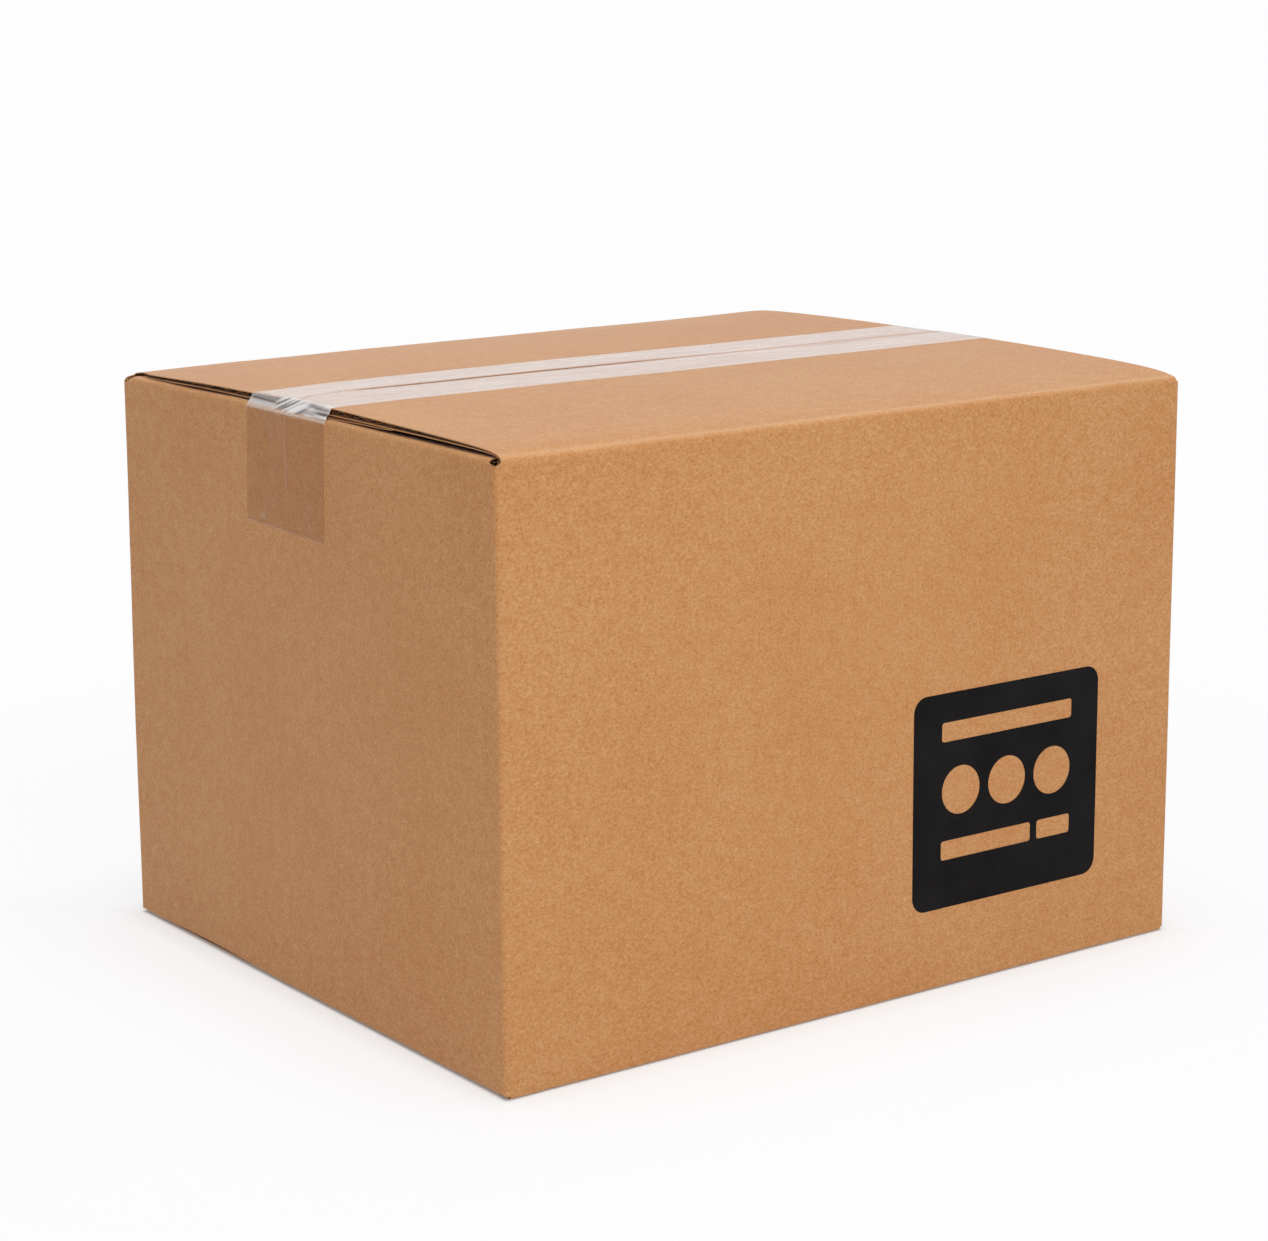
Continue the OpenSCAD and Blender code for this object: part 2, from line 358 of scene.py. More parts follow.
def add_shell(mesh, cells, outer, inner, painted_shade=(0.0, 1.0), cut=0.5):
    """Adds a closed skin over cells of the blank, between the places that outer and inner give.

    The pair of darkness values gives the painted shade of the outer and the inner side, and cut
    gives the painted shade of the edge between them.
    """
    painted_shade_layer = mesh.loops.layers.float["painted_shade"]
    crest_highlight_layer = mesh.verts.layers.float["crest"]
    made = {}

    def key(s, v):
        return round(s / mm, 4), round(v / mm, 4)

    def corner(s, v, side):
        name = (key(s, v), side)
        if name not in made:
            made[name] = mesh.verts.new((outer, inner)[side](s, v))
            # Outer faces near a fold carry the mask for the painted highlight on its crest
            if not side and not painted_shade[0]:
                from_crest = abs(max(v - fold_top, -v) - crest_highlight_past)
                made[name][crest_highlight_layer] = max(0.0, 1 - from_crest / crest_highlight_reach)
        return made[name]

    def face(corners, darkness):
        for place in mesh.faces.new(corners).loops:
            # Each face carries how much painted shade darkens it
            place[painted_shade_layer] = darkness

    edges = {}
    for a, b, low, high in cells:
        loop = [(a, low), (b, low), (b, high), (a, high)]
        face([corner(*c, 0) for c in loop], painted_shade[0])
        face([corner(*c, 1) for c in reversed(loop)], painted_shade[1])
        for one, two in zip(loop, loop[1:] + loop[:1]):
            if (key(*two), key(*one)) in edges:
                del edges[(key(*two), key(*one))]
            else:
                edges[(key(*one), key(*two))] = (one, two)
    for one, two in edges.values():
        face([corner(*two, 0), corner(*one, 0), corner(*one, 1), corner(*two, 1)], cut)


def trimmed(s, v):
    """Moves s in from the far left end of the back flap, whose slot was cut wide at the fold."""
    panel = panels[BACK]
    past = v - (fold_top - top_slot)
    if panel_at(s) is not panel or s > panel.end + 1e-7 or past <= 0:
        return s
    cut = 2.8 * mm * ease(past / (0.4 * mm)) * (1 - ease((past - 5 * mm) / (16 * mm)))
    return s - cut * (1 - ease((panel.end - s) / (14 * mm)))


def notched(s, v):
    """Lowers the top of the walls between two flaps, where each slot in the blank ends round."""
    below = fold_top - top_slot - v
    if not 0 <= below < slot_reach:
        return v
    depth = 0.9 * mm * (1 - ease(abs(s - panels[LEFT].start) / (7 * mm)))
    for one, two in zip(panels, panels[1:]):
        slot_start, slot_end = one.end - one.side, two.start + two.side
        across = (s - slot_start) / (slot_end - slot_start)
        if 0 < across < 1:
            depth += slot_dip * math.sin(math.pi * across) ** 0.8
    return v - depth * (1 - ease(below / slot_reach))


def frayed(s, v, amount, seed):
    """Moves s in from the end of a flap by an uneven amount, which dies out over 4 mm."""
    panel = panel_at(s)
    near_start = s - panel.start - panel.side
    near_end = panel.end - panel.side - s
    back = amount * (1 + wave(s / (50 * mm), v / (3.1 * mm), seed)) / 2
    fade = max(0.0, 1 - min(near_start, near_end) / (4 * mm))
    return s + (back if near_start < near_end else -back) * fade


def add_flutes(mesh, cells):
    """Adds a stretch of the fluted medium, whose waves run round the box."""
    middle = board_t / 2
    swing = (board_t - 2 * liner_t - medium_t) / 2

    def at(s, v, side):
        crushed = 1 - 0.45 * ease(0.5 + wave(s / (30 * mm), v / (7 * mm), 8.8))
        swerve = v + 1.5 * mm * wave(v / (8 * mm), s / (200 * mm), 2.2)
        level = middle + swing * crushed * math.sin(math.tau * swerve / flute_pitch)
        return sheet_point(frayed(trimmed(s, v), v, 3.2 * mm, 7.0), v, level + side * medium_t / 2)

    # The flutes seen at the cut ends get the deepest painted shade
    add_shell(
        mesh, cells, lambda s, v: at(s, v, -1), lambda s, v: at(s, v, 1), painted_shade=(1.3, 1.3)
    )


def add_loose_ply(mesh):
    """Adds the ply that has come away under the near end of the front flap."""
    front = panels[FRONT]
    columns = steps(front.start + 0.1 * mm, front.start + 5 * mm, 0.8 * mm)
    first, last = fold_top + 57 * mm, fold_top + 101 * mm
    rows = steps(first, last, 1.5 * mm)

    def hang(s, v, extra):
        along = (v - first) / (last - first)
        drop = 0.85 * mm * along ** 0.6 * (1 + 0.25 * wave(v / (6 * mm), 0.0, 1.5))
        drop *= max(0.0, 1 - (s - front.start) / (5 * mm))
        return sheet_point(s, v, board_t + drop + extra)

    cells = [(a, b, low, high) for low, high in zip(rows, rows[1:])
             for a, b in zip(columns, columns[1:])]
    # The loose ply under the flap gets painted shade
    add_shell(
        mesh,
        cells,
        lambda s, v: hang(s, v, 0.03 * mm),
        lambda s, v: hang(s, v, 0.25 * mm),
        painted_shade=(0.6, 0.6),
    )


def board_mesh():
    """The folded sheet: its two liners, and its flutes wherever a cut edge lets them be seen."""
    mesh = bmesh.new()
    # Painted shade for each face corner, and the mask of the painted highlight on the crests of the
    # folds
    mesh.loops.layers.float.new("painted_shade")
    mesh.verts.layers.float.new("crest")

    def outer_point(s, v, depth):
        return sheet_point(trimmed(s, v), notched(s, v), depth)

    def skin(v):
        """Thickness of the outer liner, which is backed by crushed flutes in the folds."""
        near_fold = max(0.0, 1 - abs(max(v - fold_top, -v)) / (4 * mm))
        return liner_t + (crushed_t - liner_t) * near_fold

    def inner_point(s, v, depth):
        return sheet_point(frayed(trimmed(s, v), v, 0.5 * mm, 2.0), notched(s, v), depth, roll_out)

    # Outer liner: no painted shade on its outer face, painted shade on its inner face and its cut
    # edges
    add_shell(
        mesh,
        blank_cells(7.5 * mm, 0.45 * mm),
        lambda s, v: outer_point(s, v, 0.0),
        lambda s, v: outer_point(s, v, skin(v)),
        cut=1.1,
    )
    # Inner liner: painted shade on both faces, and its cut edges left without painted shade
    add_shell(
        mesh,
        blank_cells(14 * mm, 0.8 * mm),
        lambda s, v: inner_point(s, v, board_t - liner_t),
        lambda s, v: inner_point(s, v, board_t),
        painted_shade=(1.0, 1.0),
        cut=-0.3,
    )
    for panel in panels[:TAB]:
        rows = steps(4.5 * mm, flap_edge, flute_step)
        for at_top in (False, True):
            for columns in flute_strips(panel):
                add_flutes(mesh, flap_cells(at_top, columns, rows))
    edge_columns = steps(0, 24 * mm, 8 * mm)
    edge_rows = steps(top_slot, fold_top - top_slot, flute_step)
    add_flutes(
        mesh,
        [(a, b, low, high) for low, high in zip(edge_rows, edge_rows[1:])
         for a, b in zip(edge_columns, edge_columns[1:])],
    )
    add_loose_ply(mesh)
    return mesh


def as_piece(name, mesh, smooth_angle=35):
    """Turns a finished bmesh into a piece with smooth faces and crisp edges."""
    data = bpy.data.meshes.new(name)
    mesh.to_mesh(data)
    mesh.free()
    data.polygons.foreach_set("use_smooth", [True] * len(data.polygons))
    data.set_sharp_from_angle(angle=math.radians(smooth_angle))
    piece = bpy.data.objects.new(name, data)
    bpy.context.scene.collection.objects.link(piece)
    return piece


class Wire:
    """An output socket in a material. Sums with it add Math nodes to that material."""

    # Sockets of a Mix node that mixes colours, which share their names with others
    SHARE, FIRST, SECOND, MIXED = 0, 6, 7, 2

    def __init__(self, tree, socket=None):
        self.tree = tree
        self.socket = socket

    def node(self, kind, settings=(), sockets=(), output=0):
        """Adds a node, makes its settings, and gives its sockets values or links."""
        made = self.tree.nodes.new(kind)
        for name, value in dict(settings).items():
            setattr(made, name, value)
        for name, value in dict(sockets).items():
            if isinstance(value, Wire):
                self.tree.links.new(value.socket, made.inputs[name])
            else:
                made.inputs[name].default_value = value
        return Wire(self.tree, made.outputs[output] if made.outputs else None)

    def maths(self, operation, *others):
        return self.node("ShaderNodeMath", {"operation": operation}, enumerate((self, *others)))

    def __add__(self, other):
        return self.maths("ADD", other)

    def __sub__(self, other):
        return self.maths("SUBTRACT", other)

    def __rsub__(self, other):
        return self * -1 + other

    def __mul__(self, other):
        return self.maths("MULTIPLY", other)

    __radd__ = __add__
    __rmul__ = __mul__

    def between(self, low, high):
        """0 below low and 1 above high, with a soft step between."""
        return self.node(
            "ShaderNodeMapRange",
            {"interpolation_type": "SMOOTHSTEP"},
            {"Value": self, "From Min": low, "From Max": high},
        )

    def noise(self, size, detail=2.0, stretch=(1, 1, 1), roughness=0.5):
        """Noise of a given grain size, in metres, over this vector, from about -0.5 to 0.5."""
        grain = self.node(
            "ShaderNodeVectorMath",
            {"operation": "MULTIPLY"},
            {0: self, 1: tuple(1 / (size * k) for k in stretch)},
        )
        cloud = self.node(
            "ShaderNodeTexNoise",
            (),
            {"Vector": grain, "Scale": 1.0, "Detail": detail, "Roughness": roughness},
        )
        return cloud - 0.5

    def tint(self, amount, colour, kind="MIX"):
        """This colour, mixed with another one by an amount."""
        return self.node(
            "ShaderNodeMix",
            {"data_type": "RGBA", "blend_type": kind},
            {self.SHARE: amount, self.FIRST: self, self.SECOND: colour},
            output=self.MIXED,
        )

    def shades(self, first, second):
        """The colour that goes from first to second while this value goes from 0 to 1."""
        return self.node(
            "ShaderNodeMix",
            {"data_type": "RGBA"},
            {self.SHARE: self, self.FIRST: first, self.SECOND: second},
            output=self.MIXED,
        )

    def surfaces(self, first, second):
        """The surface that goes from first to second while this value goes from 0 to 1."""
        return self.node("ShaderNodeMixShader", (), {0: self, 1: first, 2: second})

    def carried(self, name):
        """A value that the mesh carries."""
        return self.node("ShaderNodeAttribute", {"attribute_name": name}, output="Fac")

    def place(self):
        """Where the surface is, in metres from the object's origin."""
        return self.node("ShaderNodeTexCoord", output="Object")


def new_material(name):
    """An empty material and the wire that its nodes start from."""
    material = bpy.data.materials.new(name)
    material.use_nodes = True
    material.node_tree.nodes.clear()
    return material, Wire(material.node_tree)


def finish_material(start, surface):
    """Makes a surface the one that the material shows."""
    start.node("ShaderNodeOutputMaterial", (), {"Surface": surface})


def kraft_board():
    """Brown paper, mottled and flecked, with a painted highlight and rubbed pale specks on its
    folds, and painted shade on its hidden faces, flutes and cut edges.
    """
    material, start = new_material("kraft board")
    place = start.place()
    painted_shade = start.carried("painted_shade")
    crest = start.carried("crest")
    mottle = place.noise(1.3 * mm, 3.0, roughness=0.65)
    fibres = place.noise(0.6 * mm, 1.0, stretch=(1.4, 1.4, 1))
    patches = place.noise(5 * mm, 2.0)
    clouds = place.noise(45 * mm, 1.0)
    flecks = start.node(
        "ShaderNodeTexVoronoi", {"feature": "F1"}, {"Vector": place, "Scale": 1 / (17 * mm)}
    )
    paper = (patches + 0.4 * clouds).between(-0.2, 0.2).shades(
        (0.560, 0.262, 0.101, 1), (0.566, 0.281, 0.111, 1)
    )
    grain = 0.60 * mottle + 0.75 * fibres + 0.10 * clouds + 0.12 * patches
    shade = start.node(
        "ShaderNodeCombineColor", (), {0: 1 + 0.62 * grain, 1: 1 + grain, 2: 1 + 1.7 * grain}
    )
    paper = paper.tint(1.0, shade, "MULTIPLY")
    paper = paper.tint(0.55 * (1 - flecks.between(0.012, 0.03)), (0.20, 0.09, 0.035, 1))
    worn = crest * (mottle + fibres).between(0.10, 0.30)
    # Painted highlight along the crest of each fold, with pale specks where the fold is rubbed
    paper = paper.tint(0.42 * crest + 0.35 * worn, (0.72, 0.44, 0.24, 1))
    # Painted shade on hidden faces, flutes and cut edges, as the mesh gives it
    paper = paper.tint(painted_shade * 0.45, (0.30, 0.15, 0.06, 1))
    bump = start.node(
        "ShaderNodeBump",
        (),
        {"Strength": 0.2, "Distance": 0.12 * mm, "Height": mottle + 0.7 * fibres},
    )
    surface = start.node(
        "ShaderNodeBsdfPrincipled",
        (),
        {
            "Base Color": paper,
            "Roughness": 0.47 + 0.15 * mottle,
            "Normal": bump,
            "Specular IOR Level": 0.15,
            "Sheen Weight": 0.15,
            "Sheen Roughness": 0.28,
        },
    )
    finish_material(start, surface)
    return material


carton = as_piece("carton_sheet", board_mesh())
carton.data.materials.append(kraft_board())
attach(carton, "root")
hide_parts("carton")

# Clear tape
# One strip of clear packing tape, pressed over the top seam from end to end. It leaves the ends of
# the outer flaps as a crumpled bridge and sticks to both short walls again below their folds.
tape_w = 50 * mm
tape_t = 0.05 * mm
tape_lift = 0.05 * mm
tape_y = 1.6 * mm
tail_rows = 50
bridge_rows = 30
bridge_reach = 3 * mm
sag_depth = 0.10 * mm
sag_width = 1.0 * mm
tear = 1.2 * mm  # how far the near cut end is out of square
near_shift = 1.7 * mm
near_skew = 0.055
far_skew = 0.01
tape_low, tape_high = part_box("top_tape")
tail_low = tape_low.z + 0.1 * mm
film_limit = tape_high.x - 0.02 * mm

# Wrinkles of the tail on the near short wall, each as points (y, z) and a strength
tail_wrinkles = [
    ([(19.0, 194.6), (16.6, 192.6), (12.7, 190.4)], 0.6),
    ([(8.2, 196.2), (8.6, 190.8), (7.6, 188.6), (6.6, 187.2)], 0.7),
    ([(4.4, 191.4), (3.8, 187.0), (3.5, 180.0), (3.6, 175.2), (4.2, 172.8)], 1.0),
    ([(3.4, 174.0), (2.4, 170.0), (0.8, 166.6)], 0.35),
    ([(5.4, 196.4), (6.2, 194.4), (5.6, 192.8), (4.4, 191.8)], 0.8),
    ([(2.0, 196.6), (3.2, 194.6), (3.4, 192.2)], 0.7),
    ([(-4.2, 195.6), (-4.3, 189.0), (-4.0, 183.1)], 0.4),
    ([(-16.6, 192.0), (-17.4, 188.0), (-16.9, 184.0), (-18.4, 180.0)], 0.4),
    ([(19.5, 167.2), (19.0, 164.5), (18.4, 162.0)], 0.35),
    ([(9.2, 159.4), (9.1, 158.4)], 0.5),
]

# The wrinkle that runs from the near end of the tape to the seam, as points (x, y)
seam_wrinkle = [(-139, -5.4), (-134, 0.1), (-131, 2.0), (-122, 3.8), (-115, 5.4), (-108, 4.4)]


def from_line(across, along, points):
    """Distance of a place on the tape from a chain of points, all in mm."""
    spot = Vector((across, along))
    distances = []
    for one, two in zip(points, points[1:]):
        one = Vector(one)
        span = Vector(two) - one
        share = min(max((spot - one).dot(span) / span.length_squared, 0.0), 1.0)
        distances.append((spot - one - span * share).length)
    return min(distances)


def tape_on_top(x, y):
    """Point of the tape's underside over the flaps."""
    seam = seam_line(x)
    panel = panels[FRONT] if y < seam else panels[BACK]
    fold = Fold(panel, panel.s_at(x, panel.origin.y), True)
    reach = half_w - abs(y) if y * panel.origin.y > 0 else half_w + abs(y)
    run = min(reach - fold.radius * (1 - math.cos(fold.full)), fold.run_end)
    v = fold.start + fold.bend + run / fold.stretch
    point = sheet_point(panel.s_at(x, panel.origin.y), v, -tape_lift)
    sag = sag_depth * max(0.0, 1 - abs(y - seam) / sag_width)
    return Vector((x, y, point.z - sag))


def tail_end(across, side):
    """Height of the cut end of a tail, at -1 for the near side or 1 for the far one."""
    return tail_low - (tear * (0.5 - across / tape_w) if side < 0 else 0.0)


def tape_line(across):
    """One lengthwise line of the tape: the near tail, the part on top and the far tail."""
    tails = []
    top_y = across + tape_y
    edge_in = half_l - corner_r
    for side in (-1, 1):
        panel = panels[RIGHT] if side > 0 else panels[LEFT]
        shift, skew = (0.0, far_skew) if side > 0 else (near_shift, near_skew)
        tail = []
        fold = Fold(panel, panel.s_at(0, top_y), True)
        leave = fold.start + fold.radius * math.radians(24)
        end = tail_end(across, side)
        for k in range(tail_rows + 1):
            z = end + (leave - end) * k / tail_rows
            y = top_y + shift + (leave - z) * skew
            point = sheet_point(panel.s_at(0, y), z, -tape_lift)
            tail.append(Vector((point.x, y, point.z)))
        edge = tape_on_top(side * edge_in, top_y)
        tail += [tail[-1].lerp(edge, k / bridge_rows) for k in range(1, bridge_rows)]
        tails.append(tail)
    top = [tape_on_top(x, top_y) for x in steps(-edge_in, edge_in, 2.5 * mm)]
    return tails[0], top, tails[1][::-1]


def edge_share(across):
    """1 at the long edges of the tape, and 0 from 0.8 mm inside them."""
    return max(0.0, 1 - (tape_w / 2 / mm - abs(across / mm)) / 0.8)


def film_on_top(point, across):
    """Film over the flaps: hazy, and clear where it is pressed in over the seam."""
    a, x = across / mm, point.x / mm
    late = bell(a + 3.6 - x / 70, 0.9) * ease((x - 62) / 10)
    valley = bell(point.y - seam_line(point.x), 1.8 * mm, 4) * ease((x + 118) / 12)
    start = bell(from_line(x, point.y / mm, seam_wrinkle), 1.0)
    streak = wave(x / 60 + a / 9, a / 1.6 + x / 90, 11.0)
    haze = 1 + 0.22 * streak + 0.3 * edge_share(across)
    haze = haze - 0.86 * max(valley, 0.7 * start) - 0.45 * late
    return 0.05 * max(streak, 0.0) + 0.10 * start, haze, 0.0


def film_on_wall(point, across):
    """Film stuck to a short wall: clear, with a milky cut end, and wrinkles in the near one."""
    y, z = point.y / mm, point.z / mm
    side = -1 if point.x < 0 else 1
    line = bubble = 0.0
    if side < 0:
        line = max(s * bell(from_line(y, z, points), 0.38) for points, s in tail_wrinkles)
        bubble = bell(((y - 19.3) / 1.6) ** 2 + ((z - 160.6) / 1.2) ** 2, 1.0)
    from_end = (point.z - tail_end(across, side)) / mm
    ends = max(0.0, 1 - from_end / 0.45) * (0.6 + 0.6 * ease(0.5 + 2 * wave(y / 3, 0.0, 3.0)))
    edges = edge_share(across) * ease(0.4 + wave(y / 7, z / 6, 3.0)) * (1 if across < 0 else 0.5)
    cloud = max(0.0, wave(y / 5, z / 26, 31.0))
    crest = 1 - ease(((fold_top - point.z) / mm - 1.7) / 0.5)
    threads = max(0.0, wave(y / 0.9, z / 30, 12.0))
    milky = 0.20 * line + 0.20 * bubble + 0.30 * ends + 0.14 * edges + 0.50 * crest
    return 0.10 * line + 0.1 * bubble, 0.03, milky + 0.07 * cloud + 0.10 * threads


def film_bridge(point, across):
    """Film between wall and flap at the near end: pale, crumpled and streaked, left to right."""
    a = across / mm
    span = min(max(((fold_top - point.z) / mm + 3.2) / 4.8, 0.0), 1.0)
    hump = math.sin(math.pi * span)
    slant = a - 11 * span
    folds = wave(slant / 3.4, a / 22, 21.0) + 0.3 * wave(slant / 1.7, a / 9, 5.0)
    left, right = ease((a - 5) / 5), ease((-8 - a) / 6)
    crease = bell(span - 0.50 + 0.004 * a, 0.05)
    pale = 0.20 + 0.34 * ease((span - 0.5) / 0.1) - 0.2 * crease
    crumpled = 0.16 + 1.1 * ease(0.35 + 2.0 * folds)
    streaked = 0.36 + 1.0 * wave(a / 16, span * 5 + a / 30, 17.0)
    milky = pale * left + crumpled * (1 - left) * (1 - right) + streaked * right
    milky = min(max(milky, 0.05) + 0.3 * edge_share(across), 0.97)
    return 0.5 * hump * folds * (1 - 0.7 * left), 0.1, milky


def crumple(point, across):
    """How far the film stands off its ideal surface, in mm, its haze there and how milky it is."""
    if half_l - abs(point.x) > bridge_reach:
        return film_on_top(point, across)
    if point.x > 0 or point.z < fold_top - 1.2 * mm:
        return film_on_wall(point, across)
    return film_bridge(point, across)


def tape_mesh():
    """The strip as a thin closed skin, which carries its haze and how milky it is."""
    mesh = bmesh.new()
    haze_layer = mesh.verts.layers.float.new("haze")
    milky_layer = mesh.verts.layers.float.new("milky")
    columns = steps(-tape_w / 2, tape_w / 2, 0.4 * mm)
    skins = ([], [])
    for across in columns:
        near, top, far = tape_line(across)
        line = near + top + far
        rows = ([], [])
        for i, point in enumerate(line):
            along = (line[min(i + 1, len(line) - 1)] - line[max(i - 1, 0)]).normalized()
            out = Vector((-along.z, 0, along.x))
            raised, haze, milky = crumple(point, across)
            for row, lift in zip(rows, (tape_t, 0.0)):
                place = point + out * (raised * mm + lift)
                place.x = min(max(place.x, -film_limit + tape_t - lift), film_limit - tape_t + lift)
                row.append(mesh.verts.new(place))
                row[-1][haze_layer] = haze
                row[-1][milky_layer] = milky
        skins[0].append(rows[0])
        skins[1].append(rows[1])
    over, under = skins
    for j in range(len(columns) - 1):
        for i in range(len(over[0]) - 1):
            mesh.faces.new((over[j][i], over[j][i + 1], over[j + 1][i + 1], over[j + 1][i]))
            mesh.faces.new((under[j][i], under[j + 1][i], under[j + 1][i + 1], under[j][i + 1]))
    for one, two in ((over[0], under[0]), (under[-1], over[-1])):
        for i in range(len(one) - 1):
            mesh.faces.new((one[i], two[i], two[i + 1], one[i + 1]))
    for i in (0, -1):
        for j in range(len(columns) - 1):
            mesh.faces.new((over[j][i], over[j + 1][i], under[j + 1][i], under[j][i]))
    bmesh.ops.recalc_face_normals(mesh, faces=mesh.faces)
    return mesh


def clear_film():
    """Film that lets the board through, hazier at a low angle, and milky where the mesh says so."""
    material, start = new_material("clear film")
    place = start.place()
    haze = start.carried("haze")
    milky = start.carried("milky")
    height = start.node("ShaderNodeSeparateXYZ", (), {"Vector": place}, output="Z")
    streaks = place.noise(0.9 * mm, 2.0, stretch=(40, 1, 40))
    clouds = place.noise(9 * mm, 2.0, stretch=(2, 1, 1))
    rim = start.node("ShaderNodeLayerWeight", (), {"Blend": 0.35}, output="Fresnel")
    film = height.between(0.1942, 0.1956).shades((0.80, 0.56, 0.38, 1), (0.93, 0.73, 0.59, 1))
    film = film.tint(height.between(0.1966, 0.1976), (0.93, 0.905, 0.89, 1))
    gloss = start.node(
        "ShaderNodeBsdfPrincipled",
        (),
        {"Base Color": film, "Roughness": 0.28 + 0.3 * clouds, "IOR": 1.5},
    )
    clear = start.node("ShaderNodeBsdfTransparent", (), {"Color": (0.951, 0.938, 0.934, 1)})
    share = haze * rim * (0.66 + 0.4 * streaks + 0.25 * clouds) + milky
    finish_material(start, share.surfaces(clear, gloss))
    return material


tape = as_piece("seam_tape", tape_mesh(), 60)
tape.data.materials.append(clear_film())
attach(tape, "root")
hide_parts("top_tape")

# Printed block
# A block of black ink printed flat on the front wall, with plain shapes left bare in it so that the
# board shows through. It carries no words and no sign.
block_w = 82.6 * mm
block_h = 73.6 * mm
block_x = 63.2 * mm
block_z = 64.8 * mm
block_corner = 5.5 * mm
ink_lift = 0.05 * mm
ink_t = 0.03 * mm
bar_h = 6.6 * mm
bar_corner = 1 * mm
disc = 16.6 * mm
disc_gap = 20.5 * mm
disc_up = 3 * mm


def rounded(cx, cz, width, height, radius, turns=8):
    """Outline of a rectangle with round corners, as points on the front wall."""
    points = []
    for k, (sx, sz) in enumerate([(1, -1), (1, 1), (-1, 1), (-1, -1)]):
        for i in range(turns + 1):
            angle = math.pi / 2 * (k - 1 + i / turns)
            points.append((
                cx + sx * (width / 2 - radius) + radius * math.cos(angle),
                cz + sz * (height / 2 - radius) + radius * math.sin(angle),
            ))
    return points


def on_front(x, z, depth):
    """Place on the front wall, depth below its face."""
    panel = panels[FRONT]
    return sheet_point(panel.start + x - panel.origin.x, z, depth)


def bare_bar(right, up, width):
    """Outline of a bare bar, from its place off the middle of the block and its width, in mm."""
    return rounded(block_x + right * mm, block_z + up * mm, width * mm, bar_h, bar_corner)


def block_mesh():
    """The layer of ink, as a closed skin that follows the wall."""
    mesh = bmesh.new()
    outlines = [rounded(block_x, block_z, block_w, block_h, block_corner), bare_bar(0, 23.5, 58)]
    for k in (-1, 0, 1):
        middle_x = block_x + k * disc_gap
        outlines.append(rounded(middle_x, block_z + disc_up, disc, disc, disc * 0.499, 12))
    outlines += [bare_bar(-9, -17, 40), bare_bar(21.5, -17, 15)]
    for outline in outlines:
        loop = [mesh.verts.new((x, 0, z)) for x, z in outline]
        for a, b in zip(loop, loop[1:] + loop[:1]):
            mesh.edges.new((a, b))
    bmesh.ops.triangle_fill(mesh, use_beauty=True, edges=mesh.edges[:])
    for axis, low, high in ((0, block_x - block_w / 2, block_x + block_w / 2),
                            (2, block_z - block_h / 2, block_z + block_h / 2)):
        normal = Vector((axis == 0, 0, axis == 2))
        for cut in steps(low, high, 5 * mm)[1:-1]:
            everything = mesh.verts[:] + mesh.edges[:] + mesh.faces[:]
            bmesh.ops.bisect_plane(mesh, geom=everything, plane_co=normal * cut, plane_no=normal)
    bmesh.ops.recalc_face_normals(mesh, faces=mesh.faces)
    faces, rims = mesh.faces[:], [edge for edge in mesh.edges if edge.is_boundary]
    outer = {vertex: mesh.verts.new(vertex.co) for vertex in mesh.verts[:]}
    for face in faces:
        mesh.faces.new([outer[vertex] for vertex in list(face.verts)[::-1]])
    for a, b in [edge.verts for edge in rims]:
        mesh.faces.new((a, b, outer[b], outer[a]))
    for vertex, lifted in outer.items():
        x, _, z = vertex.co
        vertex.co = on_front(x, z, ink_t - ink_lift)
        lifted.co = on_front(x, z, -ink_lift)
    bmesh.ops.recalc_face_normals(mesh, faces=mesh.faces)
    return mesh


def black_ink():
    """Matt black ink on rough paper."""
    material, start = new_material("black ink")
    place = start.place()
    grain = place.noise(0.7 * mm, 3.0)
    clouds = place.noise(14 * mm, 2.0)
    ink = (grain + clouds).between(-0.4, 0.4).shades(
        (0.0065, 0.0058, 0.0060, 1), (0.0125, 0.0112, 0.0115, 1)
    )
    bump = start.node(
        "ShaderNodeBump", (), {"Strength": 0.2, "Distance": 0.1 * mm, "Height": grain}
    )
    surface = start.node(
        "ShaderNodeBsdfPrincipled",
        (),
        {
            "Base Color": ink,
            "Roughness": 0.8 + 0.1 * grain,
            "Normal": bump,
            "Specular IOR Level": 0.08,
        },
    )
    finish_material(start, surface)
    return material


block = as_piece("printed_block", block_mesh())
block.data.materials.append(black_ink())
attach(block, "root")

# Glue
# The adhesive of the joint and the hot-melt under the bottom flaps, both out of sight between faces
# of the sheet: a pale set resin.


def set_glue():
    """Cloudy cream resin."""
    material, start = new_material("set glue")
    place = start.place()
    cloudy = place.noise(3 * mm, 2.0)
    colour = (cloudy + 0.5).shades((0.72, 0.64, 0.48, 1), (0.82, 0.76, 0.62, 1))
    surface = start.node(
        "ShaderNodeBsdfPrincipled", (), {"Base Color": colour, "Roughness": 0.45 + 0.2 * cloudy}
    )
    finish_material(start, surface)
    return material


glue = set_glue()
for name in ("joint_glue", "bottom_glue"):
    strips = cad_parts[name]
    strips.data.materials.clear()
    strips.data.materials.append(glue)

# Floor and light
# A white studio sweep with a large soft light overhead, a softer one in front and a weak one on the
# left.
floor_half = 4.0


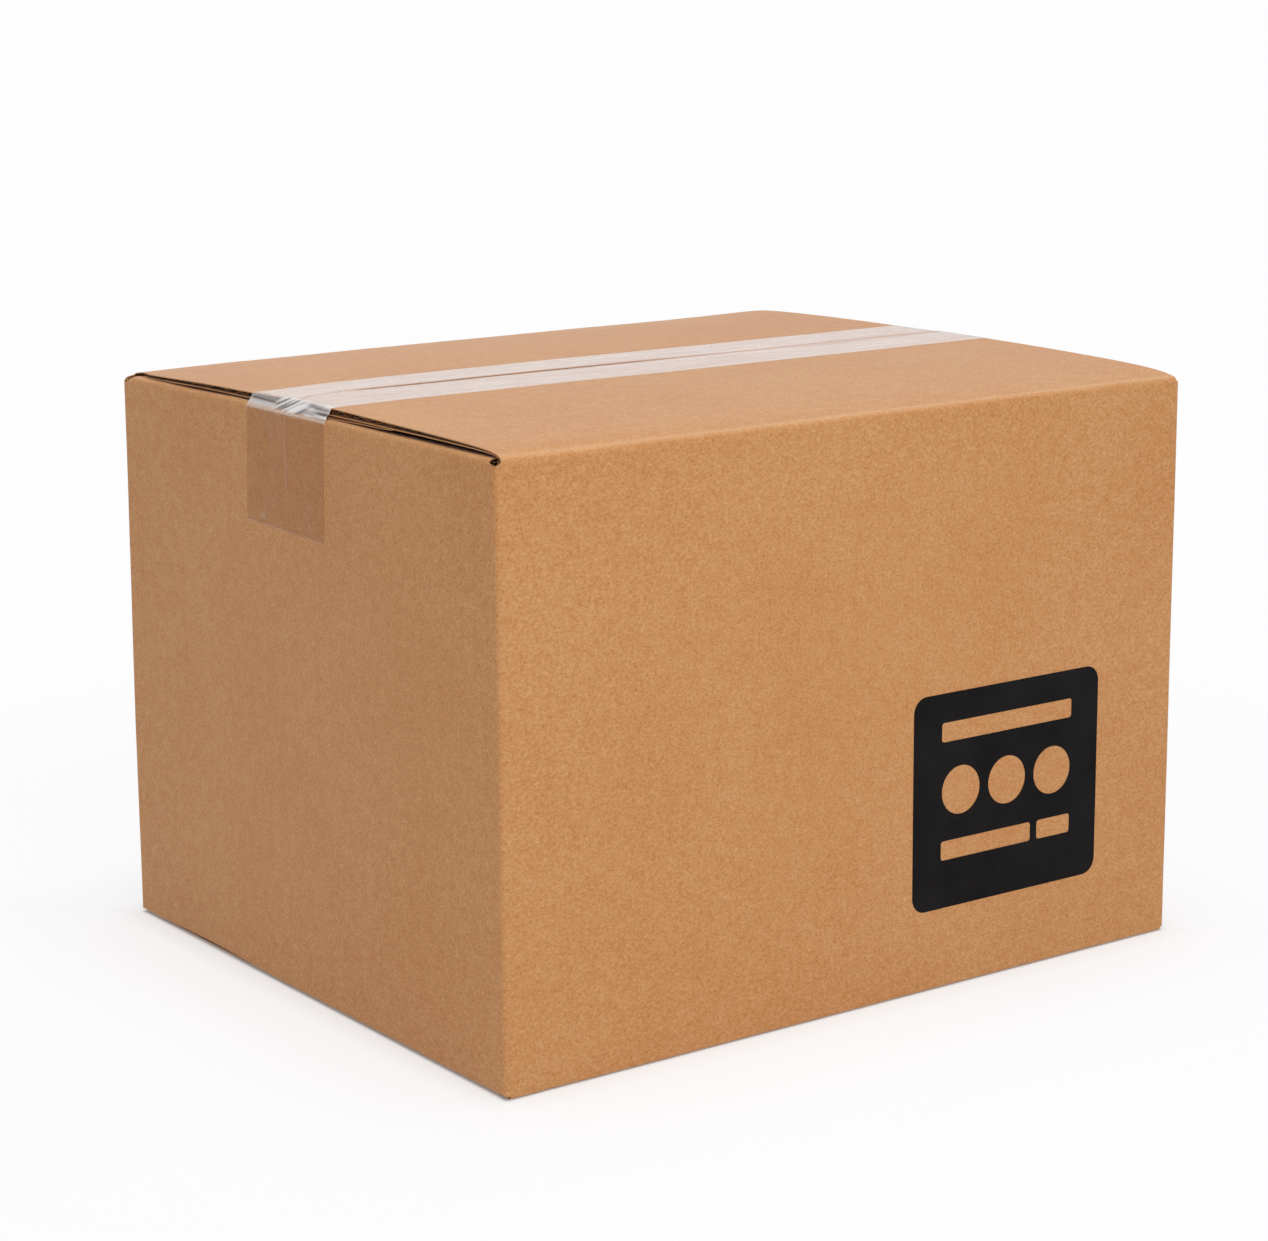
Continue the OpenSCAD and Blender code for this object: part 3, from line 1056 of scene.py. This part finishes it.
def white_floor():
    """White paper that also glows to the eye, so that it shows as white and keeps the shadow."""
    material, start = new_material("white floor")
    seen = start.node("ShaderNodeLightPath", output="Is Camera Ray")
    mirrored = start.node("ShaderNodeLightPath", output="Is Glossy Ray")
    place = start.place()
    far = start.node("ShaderNodeVectorMath", {"operation": "LENGTH"}, {0: place}, output="Value")
    x = start.node("ShaderNodeSeparateXYZ", (), {"Vector": place}, output="X")
    y = start.node("ShaderNodeSeparateXYZ", (), {"Vector": place}, output="Y")
    away = (x.maths("ABSOLUTE") - half_l).maths("MAXIMUM", y.maths("ABSOLUTE") - half_w)
    # How much it glows: least at the carton, where the shadow is, and more with distance
    veil = 0.12 + 0.40 * away.between(-0.002, 0.001) + 0.22 * away.between(0.0, 0.012)
    veil = veil + 0.17 * away.between(0.0, 0.07) + 0.09 * far.between(0.28, 0.5)
    white = start.node("ShaderNodeEmission", (), {"Color": (0.99, 0.985, 0.99, 1), "Strength": 1.0})
    paper = start.node("ShaderNodeBsdfDiffuse", (), {"Color": (0.98, 0.98, 0.98, 1)})
    finish_material(start, (veil * (seen + mirrored)).surfaces(paper, white))
    return material


floor_mesh = bmesh.new()
bmesh.ops.create_grid(floor_mesh, x_segments=2, y_segments=2, size=floor_half)
floor = as_piece("floor", floor_mesh)
floor.data.materials.append(white_floor())

world = bpy.data.worlds.new("studio")
bpy.context.scene.world = world
world.use_nodes = True
world.node_tree.nodes.clear()
sky = Wire(world.node_tree)
seen = sky.node("ShaderNodeLightPath", output="Is Camera Ray")
mirrored = sky.node("ShaderNodeLightPath", output="Is Glossy Ray")
through = sky.node("ShaderNodeLightPath", output="Is Transmission Ray")
ambient = sky.node("ShaderNodeBackground", (), {"Color": (1, 1, 1, 1), "Strength": 0.37})
backdrop = sky.node("ShaderNodeBackground", (), {"Color": (0.99, 0.985, 0.99, 1), "Strength": 1.0})
direct = (seen + mirrored + through).maths("MINIMUM", 1.0)
sky.node("ShaderNodeOutputWorld", (), {"Surface": direct.surfaces(ambient, backdrop)})


def add_light(name, place, size, power):
    """Adds a square soft light that faces the middle of the carton."""
    aim = Vector((0, 0, fold_top / 2))
    lamp = bpy.data.lights.new(name, "AREA")
    lamp.shape = "SQUARE"
    lamp.size = size
    lamp.energy = power
    stand = bpy.data.objects.new(name, lamp)
    stand.location = place
    stand.rotation_mode = "QUATERNION"
    stand.rotation_quaternion = (aim - Vector(place)).to_track_quat("-Z", "Y")
    bpy.context.scene.collection.objects.link(stand)


add_light("overhead", (0.0, -0.1, 1.9), 1.6, 17.6)
add_light("front", (-0.24, -1.02, 0.8), 0.8, 5.2)
add_light("left", (-2.0, -0.3, 1.0), 1.2, 1.5)

# Camera
# It stands to the left in front, a little above the carton's top, and looks slightly down.
camera_place = Vector((-0.6339, -0.8721, 0.3470))
camera_heading = math.radians(54.174)
camera_dip = math.radians(12.391)
camera_tilt = math.radians(-0.405)
camera_lens = 89.18
camera_sensor = 36
sight = Vector((
    math.cos(camera_dip) * math.cos(camera_heading),
    math.cos(camera_dip) * math.sin(camera_heading),
    -math.sin(camera_dip),
))
level = Vector((math.sin(camera_heading), -math.cos(camera_heading), 0))
upright = level.cross(sight)
right = level * math.cos(camera_tilt) + upright * math.sin(camera_tilt)
up = upright * math.cos(camera_tilt) - level * math.sin(camera_tilt)
turned = Matrix((right, up, -sight)).transposed()
lens = bpy.data.cameras.new("camera")
lens.lens = camera_lens
lens.sensor_width = camera_sensor
camera = bpy.data.objects.new("camera", lens)
camera.matrix_world = Matrix.Translation(camera_place) @ turned.to_4x4()
bpy.context.scene.collection.objects.link(camera)
bpy.context.scene.camera = camera
bpy.context.scene.view_settings.view_transform = "Standard"
